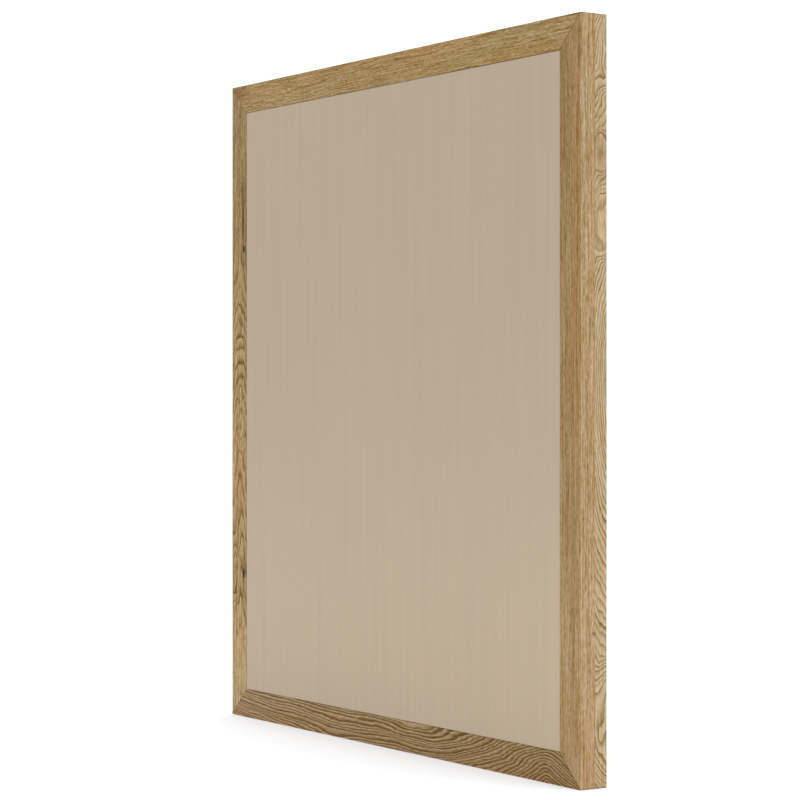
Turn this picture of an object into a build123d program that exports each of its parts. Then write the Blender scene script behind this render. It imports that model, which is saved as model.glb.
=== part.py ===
"""Framed cork bulletin board: a flush pin panel in a deep, mitred oak frame of two layers.

The board stands in the row frame with +Z up and its pin surface facing -Y.
The origin is at the middle of its underside, halfway between the front face and the wall bumpers.

Two directions are used all round the frame, whichever member is meant:
  inset  from the outer edge of the board towards its middle
  depth  from the front face of the oak towards the wall
"""

import os
from math import hypot, sqrt

from build123d import *

# ---------------------------------------------------------------- driving dimensions, in mm

BOARD_WIDTH = 900.0
BOARD_HEIGHT = 1000.0

# Oak frame: a rebated moulding in front and a narrower strip glued behind it. From the outer edge
# inwards come the strip, the step that the turn buttons sit on, and the front lip.
FRAME_DEPTH = 43.0
STRIP_WIDTH = 18.0
STEP_WIDTH = 14.0
LIP_WIDTH = 12.0
ARRIS_RADIUS = 0.7
MITRE_CHAMFER = 0.25
CORNER_RADIUS = 1.0

# Pin panel, from the front: cork sheet, jute backing, softboard core, plywood carrier.
PANEL_SETBACK = 0.6
PANEL_GAP = 0.5
CORK_THICKNESS = 5.2
CORK_EDGE_RADIUS = 0.3
JUTE_THICKNESS = 0.8
CORE_THICKNESS = 8.0
CARRIER_THICKNESS = 9.0
CARRIER_GAP = 1.0

# Loose tenons across each mitre.
TENON_THICKNESS = 5.0
TENONS_PER_CORNER = 2
TENON_WIDTH = 20.0
TENON_LENGTH = 30.0
MORTISE_SLACK = 0.1
MORTISE_END_SLACK = 1.0

# Battens that keep the carrier flat.
BATTEN_HEIGHT = 45.0
BATTEN_BELOW_BACK = 5.4
BATTEN_CHAMFER = 1.5
BATTEN_BUTTON_GAP = 10.0
BATTEN_FROM_END = 290.0
BATTEN_SCREWS = 4
BATTEN_SCREW_FROM_END = 40.0

# Turn buttons, which hold the panel in its rebate.
BUTTON_THICKNESS = 1.2
BUTTON_PIVOT_RADIUS = 6.0
BUTTON_TIP_RADIUS = 4.2
BUTTON_REACH = 20.0
BUTTON_TIP_LIFT = 1.6
BUTTON_UNDER_CLEARANCE = 0.1
BUTTON_PANEL_CLEARANCE = 0.4
BUTTON_HOLE_CLEARANCE = 0.1
STILE_BUTTON_SPACING = 300.0
RAIL_BUTTON_SPACING = 360.0

# Corner plates: flat steel let into the back of the frame, with a keyhole for either way up.
PLATE_THICKNESS = 2.0
PLATE_MARGIN = 2.5
PLATE_LEG = 85.0
PLATE_TIP = 13.0
PLATE_TIP_RADIUS = 1.5
PLATE_POCKET_SLACK = 0.2
KEYHOLE_RADIUS = 5.0
KEYHOLE_SLOT_RADIUS = 2.5
KEYHOLE_RUN = 9.5
KEYHOLE_ALONG = 52.0
KEYHOLE_END_CLEARANCE = 5.5
PLATE_SCREWS_ALONG = (32.0, 76.0)

# Screws, all with round shanks. Heads are (head radius, head height).
BUTTON_SCREW_LENGTH = 14.0
BUTTON_SCREW_RADIUS = 1.75
PAN_HEAD = (3.3, 2.2)
BATTEN_SCREW_BITE = 6.0
BATTEN_SCREW_RADIUS = 2.0
BATTEN_SCREW_HEAD = (3.9, 2.3)
PLATE_SCREW_TIP_COVER = 4.0
PLATE_SCREW_RADIUS = 1.75
PLATE_SCREW_HEAD = (3.4, 1.9)
SCREW_HOLE_CLEARANCE = 0.05
SCREW_HEAD_CLEARANCE = 0.1
SCREW_HOLE_OVERDRILL = 1.0
DRIVE_SLOT = (3.4, 0.8, 1.1)

# Felt bumpers on the back, which meet the wall.
BUMPER_RADIUS = 6.0
BUMPER_HEIGHT = 2.0
BUMPER_EDGE_RADIUS = 0.5
BUMPER_FROM_END = 110.0

# ---------------------------------------------------------------- sizes worked out from them

TOTAL_DEPTH = FRAME_DEPTH + BUMPER_HEIGHT
FRONT_Y = -TOTAL_DEPTH / 2
CENTRE_HEIGHT = BOARD_HEIGHT / 2

CORK_BACK = PANEL_SETBACK + CORK_THICKNESS
JUTE_BACK = CORK_BACK + JUTE_THICKNESS
CORE_BACK = JUTE_BACK + CORE_THICKNESS
CARRIER_BACK = CORE_BACK + CARRIER_THICKNESS
LIP_DEPTH = CORE_BACK
STEP_DEPTH = CARRIER_BACK + BUTTON_PANEL_CLEARANCE
STRIP_DEPTH = FRAME_DEPTH - STEP_DEPTH

REBATE_INSET = STRIP_WIDTH + STEP_WIDTH
FACE_WIDTH = REBATE_INSET + LIP_WIDTH
FIELD_INSET = FACE_WIDTH + PANEL_GAP
CARRIER_INSET = REBATE_INSET + CARRIER_GAP
BUTTON_PIVOT_INSET = (STRIP_WIDTH + REBATE_INSET) / 2

# A tenon lies midway between the rebate and the outer edge that its ends point at.
TENON_INSET = (REBATE_INSET + TENON_LENGTH / 2 / sqrt(2)) / 2

BATTEN_THICKNESS = FRAME_DEPTH - BATTEN_BELOW_BACK - CARRIER_BACK
BATTEN_SCREW_LENGTH = BATTEN_THICKNESS + BATTEN_SCREW_BITE
BATTEN_END_INSET = BUTTON_PIVOT_INSET + BUTTON_REACH + BUTTON_TIP_RADIUS + BATTEN_BUTTON_GAP

# A keyhole's slot stops short of the strip by room for the head of the wall screw.
KEYHOLE_INSET = STRIP_WIDTH + KEYHOLE_END_CLEARANCE + KEYHOLE_RUN
PLATE_SCREW_INSET = (PLATE_MARGIN + STRIP_WIDTH) / 2
PLATE_SCREW_LENGTH = STRIP_DEPTH - PLATE_SCREW_TIP_COVER

SIDES = {"bottom": BOARD_WIDTH, "top": BOARD_WIDTH, "left": BOARD_HEIGHT, "right": BOARD_HEIGHT}
CORNERS = {"bottom_left": (-1, -1), "bottom_right": (1, -1), "top_right": (1, 1), "top_left": (-1, 1)}

# ---------------------------------------------------------------- placing pieces


def on_side(side, along=0.0, inset=0.0, depth=0.0):
    """A place on one side of the frame. Its local +X runs along the member and +Z runs inwards."""
    turn = {"bottom": 0, "top": 180, "left": 90, "right": -90}[side]
    across = BOARD_HEIGHT if side in ("bottom", "top") else BOARD_WIDTH
    middle = Location((0, 0, CENTRE_HEIGHT), (0, turn, 0))
    return middle * Location((along, FRONT_Y + depth, inset - across / 2))


def facing_wall(side, along, inset, depth):
    """A place on one side whose local +Z points at the wall and +X points inwards."""
    return on_side(side, along, inset, depth) * Location(Plane((0, 0, 0), x_dir=(0, 0, 1), z_dir=(0, 1, 0)))


def facing_wall_at(x, height, depth):
    """A place on the back whose local +Z points at the wall, +X to the board's right and -Y up."""
    return Location(Plane((x, FRONT_Y + depth, height), x_dir=(1, 0, 0), z_dir=(0, 1, 0)))


def slab(inset, front, back):
    """A rectangular sheet that stays `inset` inside the board's outline, between two depths."""
    width = BOARD_WIDTH - 2 * inset
    height = BOARD_HEIGHT - 2 * inset
    middle = Pos(0, FRONT_Y + (front + back) / 2, CENTRE_HEIGHT)
    return middle * Box(width, back - front, height)


# ---------------------------------------------------------------- screws


def drive_recess(top):
    """The cross recess in a screw head whose top is at `top`."""
    length, width, depth = DRIVE_SLOT
    slot = Box(length, width, 2 * depth)
    return Pos(0, 0, top) * (slot + Rot(0, 0, 90) * slot)


def screw_shank(length, radius):
    """A shank below z = 0 that ends in a point."""
    point = 2 * radius
    outline = Polyline(
        (0, 0),
        (radius, 0),
        (radius, point - length),
        (0, -length),
        close=True,
    )
    return revolve(Plane.XZ * make_face(outline), Axis.Z)


def pan_screw(length, radius, head):
    """A pan-head wood screw: its head sits on z = 0 and its shank runs down."""
    head_radius, height = head
    cap = Pos(0, 0, height / 2) * Cylinder(head_radius, height)
    cap = fillet(cap.edges().sort_by(Axis.Z)[-1], height / 2)
    return cap - drive_recess(height) + screw_shank(length, radius)


def countersunk_screw(length, radius, head):
    """A countersunk wood screw: the top of its head is at z = 0."""
    head_radius, height = head
    cone = Pos(0, 0, -height / 2) * Cone(radius, head_radius, height)
    shank = Pos(0, 0, -height) * screw_shank(length - height, radius)
    return cone + shank - drive_recess(0)


def pilot_hole(length, radius):
    """The hole that a screw shank of this length and radius stands in, below z = 0."""
    depth = length + SCREW_HOLE_OVERDRILL
    return Pos(0, 0, -depth / 2) * Cylinder(radius + SCREW_HOLE_CLEARANCE, depth)


def countersunk_hole(length, radius, head):
    """The hole for a countersunk screw whose head ends flush at z = 0."""
    head_radius, height = head
    slack = SCREW_HOLE_CLEARANCE
    cone = Pos(0, 0, -height / 2) * Cone(radius + slack, head_radius + slack, height)
    return cone + pilot_hole(length, radius)


# ---------------------------------------------------------------- where the fixings go


def evenly(count, spacing):
    """Places `spacing` apart, centred on 0."""
    return [spacing * (i - (count - 1) / 2) for i in range(count)]


def button_places():
    """(name, side, distance along the member) of each turn button."""
    found = []
    for side, count, spacing in (
        ("left", 3, STILE_BUTTON_SPACING),
        ("right", 3, STILE_BUTTON_SPACING),
        ("top", 2, RAIL_BUTTON_SPACING),
        ("bottom", 2, RAIL_BUTTON_SPACING),
    ):
        for i, along in enumerate(evenly(count, spacing)):
            found.append((f"turn_button_{side}_{i + 1}", side, along))
    return found


def plate_screw_places(corner):
    """The places of one corner plate's screws, with local +Z facing the wall."""
    to_right, to_top = CORNERS[corner]
    found = []
    for along in PLATE_SCREWS_ALONG:
        for across, down in ((along, PLATE_SCREW_INSET), (PLATE_SCREW_INSET, along)):
            x = to_right * (BOARD_WIDTH / 2 - across)
            height = CENTRE_HEIGHT + to_top * (BOARD_HEIGHT / 2 - down)
            found.append(facing_wall_at(x, height, FRAME_DEPTH))
    return found


# ---------------------------------------------------------------- the oak frame


def corner_place(side, end):
    """The middle of a mitre at one end (-1 or 1) of a member: local +X crosses the mitre."""
    along = end * (SIDES[side] / 2 - TENON_INSET)
    return on_side(side, along, TENON_INSET) * Rot(0, -45 * end, 0)


def loose_tenon(slack=0.0, end_slack=0.0):
    """A loose tenon centred on the origin, lengthwise along X, with rounded long edges."""
    thickness = TENON_THICKNESS + 2 * slack
    width = TENON_WIDTH + 2 * slack
    length = TENON_LENGTH + 2 * end_slack
    return extrude(Plane.YZ * Rot(0, 0, 90) * SlotOverall(width, thickness), length / 2, both=True)


def tenon_depths():
    """Depths of the tenons' middles, evenly spaced through the front moulding."""
    spaces = TENONS_PER_CORNER + 1
    return [STEP_DEPTH * (i + 1) / spaces for i in range(TENONS_PER_CORNER)]


def square_bar(outline, eased, length):
    """A square-ended bar along X. Its outline and the corners to ease are given as (depth, inset)."""
    bar = extrude(Plane.YZ * make_face(Polyline(*outline, close=True)), length / 2, both=True)
    edges = [
        edge
        for edge in bar.edges().filter_by(Axis.X)
        if any(hypot(edge.center().Y - y, edge.center().Z - z) < ARRIS_RADIUS for y, z in eased)
    ]
    return fillet(edges, ARRIS_RADIUS)


def moulding_bar(length):
    """The rebated front moulding of the frame, as the bottom member lies."""
    outline = (
        (0, 0),
        (0, FACE_WIDTH),
        (LIP_DEPTH, FACE_WIDTH),
        (LIP_DEPTH, REBATE_INSET),
        (STEP_DEPTH, REBATE_INSET),
        (STEP_DEPTH, 0),
    )
    return square_bar(outline, ((0, 0), (0, FACE_WIDTH)), length)


def strip_bar(length):
    """The plain strip glued behind the moulding, as the bottom member lies."""
    outline = (
        (STEP_DEPTH, 0),
        (STEP_DEPTH, STRIP_WIDTH),
        (FRAME_DEPTH, STRIP_WIDTH),
        (FRAME_DEPTH, 0),
    )
    return square_bar(outline, ((FRAME_DEPTH, 0), (FRAME_DEPTH, STRIP_WIDTH)), length)


def mitre_block(length):
    """The block that trims a bar to its mitres, with the front edge of each mitre just broken."""
    outline = Polyline(
        (-length / 2, 0),
        (length / 2, 0),
        (length / 2 - FACE_WIDTH, FACE_WIDTH),
        (FACE_WIDTH - length / 2, FACE_WIDTH),
        close=True,
    )
    block = extrude(Plane.XZ * make_face(outline), -FRAME_DEPTH)
    front = block.faces().sort_by(Axis.Y)[0]
    slanting = [edge for edge in front.edges() if abs(edge.tangent_at(0).X * edge.tangent_at(0).Z) > 0.1]
    return chamfer(slanting, MITRE_CHAMFER)


def outline_block():
    """The whole board's outline with its four corners just rounded."""
    block = Pos(0, FRONT_Y + FRAME_DEPTH / 2, CENTRE_HEIGHT) * Box(BOARD_WIDTH, FRAME_DEPTH, BOARD_HEIGHT)
    return fillet(block.edges().filter_by(Axis.Y), CORNER_RADIUS)


def mitred(side, bar):
    """A bar cut to its mitres and stood on its side of the frame."""
    return (on_side(side) * (bar & mitre_block(SIDES[side]))) & outline_block()


def front_member(side):
    """One piece of front moulding, with its mortises and the holes for the turn buttons' screws."""
    member = mitred(side, moulding_bar(SIDES[side]))
    for end in (-1, 1):
        for depth in tenon_depths():
            mortise = loose_tenon(MORTISE_SLACK, MORTISE_END_SLACK)
            member -= corner_place(side, end) * Pos(0, depth, 0) * mortise
    for _, button_side, along in button_places():
        if button_side == side:
            hole = pilot_hole(BUTTON_SCREW_LENGTH, BUTTON_SCREW_RADIUS)
            member -= facing_wall(side, along, BUTTON_PIVOT_INSET, STEP_DEPTH) * hole
    return member


def back_strip(side):
    """One back strip, with the pockets and screw holes of its two corner plates."""
    strip = mitred(side, strip_bar(SIDES[side]))
    for corner in CORNERS:
        if side in corner:
            strip -= plate_blank(corner, PLATE_POCKET_SLACK)
            for place in plate_screw_places(corner):
                strip -= place * pilot_hole(PLATE_SCREW_LENGTH, PLATE_SCREW_RADIUS)
    return strip


def corner_tenons(side, end):
    """The loose tenons of one corner, as separate solids."""
    return Compound(
        children=[corner_place(side, end) * Pos(0, depth, 0) * loose_tenon() for depth in tenon_depths()]
    )


# ---------------------------------------------------------------- the pin panel


def cork_sheet():
    """The sheet that takes the pins, with its front edges just rounded."""
    sheet = slab(FIELD_INSET, PANEL_SETBACK, CORK_BACK)
    return fillet(sheet.faces().sort_by(Axis.Y)[0].edges(), CORK_EDGE_RADIUS)


def batten_screw_places():
    """Distances along a batten of its screws."""
    span = BOARD_WIDTH - 2 * BATTEN_END_INSET - 2 * BATTEN_SCREW_FROM_END
    return evenly(BATTEN_SCREWS, span / (BATTEN_SCREWS - 1))


def batten_height(which):
    """Height of a batten's middle above the underside of the board."""
    return BATTEN_FROM_END if which == "lower" else BOARD_HEIGHT - BATTEN_FROM_END


def batten_screw_place(which, along):
    """A place on the back of a batten, with local +Z facing the wall."""
    return facing_wall_at(along, batten_height(which), CARRIER_BACK + BATTEN_THICKNESS)


def batten_screw_hole():
    """The countersunk hole for a batten screw."""
    return countersunk_hole(BATTEN_SCREW_LENGTH, BATTEN_SCREW_RADIUS, BATTEN_SCREW_HEAD)


def batten(which):
    """A horizontal batten on the back of the carrier."""
    length = BOARD_WIDTH - 2 * BATTEN_END_INSET
    middle = Pos(0, FRONT_Y + CARRIER_BACK + BATTEN_THICKNESS / 2, batten_height(which))
    bar = middle * Box(length, BATTEN_THICKNESS, BATTEN_HEIGHT)
    bar = chamfer(bar.faces().sort_by(Axis.Y)[-1].edges(), BATTEN_CHAMFER)
    for along in batten_screw_places():
        bar -= batten_screw_place(which, along) * batten_screw_hole()
    return bar


def plywood_carrier():
    """The plywood sheet that sits in the rebate, with the tips of the batten screws let in."""
    sheet = slab(CARRIER_INSET, CORE_BACK, CARRIER_BACK)
    for which in ("upper", "lower"):
        for along in batten_screw_places():
            sheet -= batten_screw_place(which, along) * batten_screw_hole()
    return sheet


def batten_screws():
    """All the batten screws, as separate solids."""
    return Compound(
        children=[
            batten_screw_place(which, along)
            * countersunk_screw(BATTEN_SCREW_LENGTH, BATTEN_SCREW_RADIUS, BATTEN_SCREW_HEAD)
            for which in ("upper", "lower")
            for along in batten_screw_places()
        ]
    )


# ---------------------------------------------------------------- turn buttons


def turn_button(side, along):
    """A pressed steel button that points inwards over the carrier, its tip lifted for a finger."""
    pivot = Circle(BUTTON_PIVOT_RADIUS)
    tip = Pos(BUTTON_REACH, 0) * Circle(BUTTON_TIP_RADIUS)
    plan = make_hull((pivot + tip).edges())
    plan -= Circle(BUTTON_SCREW_RADIUS + BUTTON_HOLE_CLEARANCE)
    top = BUTTON_THICKNESS + BUTTON_TIP_LIFT
    lift_from = BUTTON_REACH - BUTTON_TIP_RADIUS
    end = BUTTON_REACH + BUTTON_TIP_RADIUS
    side_view = Polyline(
        (-BUTTON_PIVOT_RADIUS, 0),
        (lift_from, 0),
        (end, BUTTON_TIP_LIFT),
        (end, top),
        (lift_from, BUTTON_THICKNESS),
        (-BUTTON_PIVOT_RADIUS, BUTTON_THICKNESS),
        close=True,
    )
    strip = extrude(Plane.XZ * make_face(side_view), BUTTON_PIVOT_RADIUS, both=True)
    across = strip.edges().filter_by(Axis.Y)
    bends = across.filter_by_position(Axis.X, lift_from - BUTTON_THICKNESS, lift_from + BUTTON_THICKNESS)
    strip = fillet(bends, BUTTON_TIP_RADIUS)
    button = strip & extrude(plan, top)
    return facing_wall(side, along, BUTTON_PIVOT_INSET, STEP_DEPTH + BUTTON_UNDER_CLEARANCE) * button


def turn_button_screws():
    """The screws that the buttons turn on, as separate solids, each just clear of its button."""
    seat = STEP_DEPTH + BUTTON_UNDER_CLEARANCE + BUTTON_THICKNESS + SCREW_HEAD_CLEARANCE
    return Compound(
        children=[
            facing_wall(side, along, BUTTON_PIVOT_INSET, seat)
            * pan_screw(BUTTON_SCREW_LENGTH, BUTTON_SCREW_RADIUS, PAN_HEAD)
            for _, side, along in button_places()
        ]
    )


# ---------------------------------------------------------------- corner plates


def corner_prism(corner, plan):
    """A plan drawn across and down from a board corner, stood up to a plate's thickness.

    The plan's X is the distance in from the side edge and its Y the distance in from the end edge.
    """
    to_right, to_top = CORNERS[corner]
    x = to_right * BOARD_WIDTH / 2
    height = CENTRE_HEIGHT + to_top * BOARD_HEIGHT / 2
    at_corner = Plane((x, FRONT_Y + FRAME_DEPTH, height), x_dir=(1, 0, 0), z_dir=(0, -1, 0))
    if to_right > 0:
        plan = mirror(plan, about=Plane.YZ)
    if to_top > 0:
        plan = mirror(plan, about=Plane.XZ)
    return extrude(at_corner * plan, PLATE_THICKNESS, dir=(0, -1, 0))


def plate_outline(slack):
    """The plan of a corner plate: a right-angled triangle with square tips, grown by `slack`."""
    near = PLATE_MARGIN
    far = PLATE_MARGIN + PLATE_LEG
    tip = PLATE_MARGIN + PLATE_TIP
    outline = Polyline(
        (near, near),
        (far, near),
        (far, tip),
        (tip, far),
        (near, far),
        close=True,
    )
    plan = fillet(make_face(outline).vertices(), PLATE_TIP_RADIUS)
    return offset(plan, slack) if slack else plan


def plate_blank(corner, slack=0.0):
    """A corner plate before its holes are cut."""
    return corner_prism(corner, plate_outline(slack))


def keyhole(across, down, run_across, run_down):
    """The plan of one keyhole, with its entry at (across, down) and its slot running outwards."""
    entry = Pos(across, down) * Circle(KEYHOLE_RADIUS)
    slot_end = Pos(across - run_across, down - run_down) * Circle(KEYHOLE_SLOT_RADIUS)
    slot_start = Pos(across, down) * Circle(KEYHOLE_SLOT_RADIUS)
    return entry + make_hull((slot_start + slot_end).edges())


def corner_plate(corner):
    """One plate, with a keyhole that hangs it by the end edge and one that hangs it by the side edge."""
    plan = plate_outline(0.0)
    plan -= keyhole(KEYHOLE_ALONG, KEYHOLE_INSET, 0, KEYHOLE_RUN)
    plan -= keyhole(KEYHOLE_INSET, KEYHOLE_ALONG, KEYHOLE_RUN, 0)
    plate = corner_prism(corner, plan)
    for place in plate_screw_places(corner):
        plate -= place * countersunk_hole(PLATE_SCREW_LENGTH, PLATE_SCREW_RADIUS, PLATE_SCREW_HEAD)
    return plate


def corner_plate_screws():
    """The screws of all four plates, as separate solids."""
    return Compound(
        children=[
            place * countersunk_screw(PLATE_SCREW_LENGTH, PLATE_SCREW_RADIUS, PLATE_SCREW_HEAD)
            for corner in CORNERS
            for place in plate_screw_places(corner)
        ]
    )


# ---------------------------------------------------------------- bumpers


def wall_bumpers():
    """Four felt discs on the back of the stiles, as separate solids."""
    disc = Pos(0, 0, BUMPER_HEIGHT / 2) * Cylinder(BUMPER_RADIUS, BUMPER_HEIGHT)
    disc = fillet(disc.edges().sort_by(Axis.Z)[-1], BUMPER_EDGE_RADIUS)
    reach = CENTRE_HEIGHT - BUMPER_FROM_END
    return Compound(
        children=[
            facing_wall(side, along, STRIP_WIDTH / 2, FRAME_DEPTH) * disc
            for side in ("left", "right")
            for along in (-reach, reach)
        ]
    )


# ---------------------------------------------------------------- writing the nodes


def board_nodes():
    """Every node of the board by name."""
    nodes = {
        "bottom_rail": front_member("bottom"),
        "top_rail": front_member("top"),
        "left_stile": front_member("left"),
        "right_stile": front_member("right"),
        "mitre_tenons_bottom_left": corner_tenons("bottom", -1),
        "mitre_tenons_bottom_right": corner_tenons("bottom", 1),
        "mitre_tenons_top_right": corner_tenons("top", -1),
        "mitre_tenons_top_left": corner_tenons("top", 1),
        "cork_sheet": cork_sheet(),
        "jute_backing": slab(FIELD_INSET, CORK_BACK, JUTE_BACK),
        "softboard_core": slab(FIELD_INSET, JUTE_BACK, CORE_BACK),
        "plywood_carrier": plywood_carrier(),
        "upper_batten": batten("upper"),
        "lower_batten": batten("lower"),
        "batten_screws": batten_screws(),
        "turn_button_screws": turn_button_screws(),
        "corner_plate_screws": corner_plate_screws(),
        "wall_bumpers": wall_bumpers(),
    }
    for side in SIDES:
        nodes[f"{side}_back_strip"] = back_strip(side)
    for name, side, along in button_places():
        nodes[name] = turn_button(side, along)
    for corner in CORNERS:
        nodes[f"corner_plate_{corner}"] = corner_plate(corner)
    return nodes


def main():
    os.makedirs("parts", exist_ok=True)
    for name, shape in board_nodes().items():
        export_step(shape, f"parts/{name}.step")


if __name__ == "__main__":
    main()
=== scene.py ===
"""Looks for the oak-framed cork pin board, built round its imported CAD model.

Every length is in metres in the model's own frame unless its name or comment says millimetres.
"""

import math
from dataclasses import dataclass

import bmesh
import bpy
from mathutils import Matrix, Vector, noise


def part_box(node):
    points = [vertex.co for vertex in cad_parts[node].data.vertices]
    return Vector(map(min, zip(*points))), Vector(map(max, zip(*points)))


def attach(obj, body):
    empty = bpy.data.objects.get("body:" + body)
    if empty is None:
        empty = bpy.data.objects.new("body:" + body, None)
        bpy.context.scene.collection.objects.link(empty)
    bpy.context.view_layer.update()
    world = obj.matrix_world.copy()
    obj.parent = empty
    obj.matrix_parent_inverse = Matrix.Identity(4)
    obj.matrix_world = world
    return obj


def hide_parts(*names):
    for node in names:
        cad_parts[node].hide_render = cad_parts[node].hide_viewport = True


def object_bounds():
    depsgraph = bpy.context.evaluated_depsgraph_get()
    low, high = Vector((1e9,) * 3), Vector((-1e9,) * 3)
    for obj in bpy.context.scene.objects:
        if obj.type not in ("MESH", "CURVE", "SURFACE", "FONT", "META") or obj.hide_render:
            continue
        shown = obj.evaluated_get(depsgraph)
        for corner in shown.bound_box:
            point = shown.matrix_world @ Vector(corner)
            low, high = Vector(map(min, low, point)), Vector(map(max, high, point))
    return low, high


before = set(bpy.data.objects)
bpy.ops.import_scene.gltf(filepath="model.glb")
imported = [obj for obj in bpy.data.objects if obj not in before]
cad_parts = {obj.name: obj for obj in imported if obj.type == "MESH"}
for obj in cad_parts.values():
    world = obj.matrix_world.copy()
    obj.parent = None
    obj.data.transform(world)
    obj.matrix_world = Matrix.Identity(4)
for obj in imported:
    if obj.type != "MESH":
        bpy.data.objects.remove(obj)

bl_info = {
    "name": "Cork Pin Board",
    "version": (1, 0, 0),
    "blender": (4, 5, 0),
    "location": "3D View > Sidebar > Pin Board",
    "description": "Finishes for a cork pin board in a mitred oak frame",
    "category": "Object",
}

MM = 1000.0
CAD_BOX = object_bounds()
LOW, HIGH = CAD_BOX
BODY = "board"
SCREW_NODES = ("corner_plate_screws", "batten_screws", "turn_button_screws")
# At scale 1, a wave texture turns through this many radians in a metre.
WAVE_TURN = 20

# Wood: how much of a streak's lightness red, green and blue take, and how dark a streak may get.
STREAK_CAST = (1.0, 1.2, 2.1)
DARKEST_STREAK = 0.3
# How far apart in the noise two lengths of wood are cut for each step of seed, in millimetres.
SEED_STEPS = (137.0, 59.0, 83.0)
# The lumps in a ring's edge, in millimetres, and how quickly and how far good and poor years
# push the rings apart, in rings.
EDGE_LUMPS = (18, 5, 5)
YEARS_PACE = 0.45
YEARS_PUSH = 0.9
# The share of the way in to a branch over which its own rings take over from the trunk's.
TAKE_OVER = 0.45
# The share of a ring over which its porous line rises, and the line's strength in a poor and
# in a good year.
LINE_RISE = 0.16
POOR_YEAR, GOOD_YEAR = 0.8, 1.9
# Half the width that a glue line is drawn, and how far out it fades, in millimetres along the
# length. That is 1.4 times as far as straight across a mitre.
GLUE_HALF = 0.35
GLUE_FADE = 0.5
# Where in its noise a pore begins, and where it is a full pore.
PORE_STARTS = 0.53
PORE_FULL = 0.66
# How far a full pore darkens the wood, and how far the fibres' noise does, for each unit of a
# timber's pores and fleck.
PORE_DARKENS = 0.45
FLECK_GAIN = 7
# How far the blush runs along, in and back before it changes, in millimetres.
BLUSH_SIZE = (170, 24, 24)


def linear(code):
    """The linear colour of an sRGB hex code, with alpha."""
    parts = [int(code[i : i + 2], 16) / 255 for i in (1, 3, 5)]
    return (*[c / 12.92 if c <= 0.04045 else ((c + 0.055) / 1.055) ** 2.4 for c in parts], 1.0)


def tinted(colour, tint):
    """A colour multiplied by a tint, channel by channel."""
    return (*[c * t for c, t in zip(colour[:3], tint[:3])], 1.0)


def colour_setting(name, description, code):
    """A colour in the sidebar, whose default is an sRGB hex code."""
    return bpy.props.FloatVectorProperty(
        name=name, description=description, subtype="COLOR", size=4, min=0, max=1,
        default=linear(code),
    )


def length_setting(name, description, millimetres):
    """A length in the sidebar, whose default is in millimetres."""
    return bpy.props.FloatProperty(
        name=name, description=description, unit="LENGTH", subtype="DISTANCE", min=0,
        precision=5, default=millimetres / MM,
    )


# ---------------------------------------------------------------- settings


class PinBoardOak(bpy.types.PropertyGroup):
    """The oak's colours, one for each length in the frame, and the size of its grain."""

    bottom_rail: colour_setting("Bottom rail", "Late wood of the bottom moulding", "#968060")
    top_rail: colour_setting("Top rail", "Late wood of the top moulding", "#967D54")
    left_stile: colour_setting("Left stile", "Late wood of the left moulding", "#A89271")
    right_stile: colour_setting("Right stile", "Late wood of the right moulding", "#9B8262")
    bottom_back_strip: colour_setting("Bottom back strip", "Late wood of that strip", "#A1875F")
    top_back_strip: colour_setting("Top back strip", "Late wood of that strip", "#A58B61")
    left_back_strip: colour_setting("Left back strip", "Late wood of that strip", "#A48A5F")
    right_back_strip: colour_setting("Right back strip", "Late wood of that strip", "#A79576")
    early_wood: colour_setting("Early wood", "Tint of the porous lines on that", "#AA904B")
    blush: colour_setting("Blush", "Tint that drifts through every length", "#FFF8EE")
    knot: colour_setting("Knot", "Colour of knots and mineral streaks", "#301804")
    glue: colour_setting("Joint", "Colour of a tight glued mitre", "#2E1B0A")
    # Oak's pores are about 0.3 mm wide and its fibres far finer. Neither would show, so both
    # are drawn as coarse as they need to be.
    pore_length: length_setting("Pore length", "How long a pore runs on the face", 9.0)
    pore_width: length_setting("Pore width", "How wide a pore shows", 0.9)
    fibre_length: length_setting("Fibre length", "Length of the long fine streaks", 52.0)
    fibre_width: length_setting("Fibre width", "Width of the long fine streaks", 1.6)
    relief: length_setting("Pore depth", "How deep the pores are", 0.12)


class PinBoardPanel(bpy.types.PropertyGroup):
    """The pinning panel and what it is bonded to."""

    linoleum: colour_setting("Cork linoleum", "Colour right through the sheet", "#A4937E")
    # The cork is ground finer than half a millimetre, and is drawn coarser so that it shows.
    crumb: length_setting("Cork crumb", "Size of the ground cork in it", 0.9)
    drag: length_setting("Calender drag", "Length of the faint streaks from rolling", 420.0)
    jute: colour_setting("Jute", "Backing cloth of the linoleum", "#A98A5C")
    jute_thread: length_setting("Jute thread", "Spacing of the threads", 1.6)
    softboard: colour_setting("Softboard", "Wood-fibre core", "#9C7B55")
    softboard_fibre: length_setting("Softboard fibre", "Size of its fibre clumps", 1.4)
    plywood: colour_setting("Birch plywood", "Face veneer of the carrier", "#D5BC91")
    ply: length_setting("Ply", "Thickness of one layer", 1.29)
    spruce: colour_setting("Spruce", "Battens", "#DAB984")
    beech: colour_setting("Beech", "Loose tenons in the mitres", "#C69A70")


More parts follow.
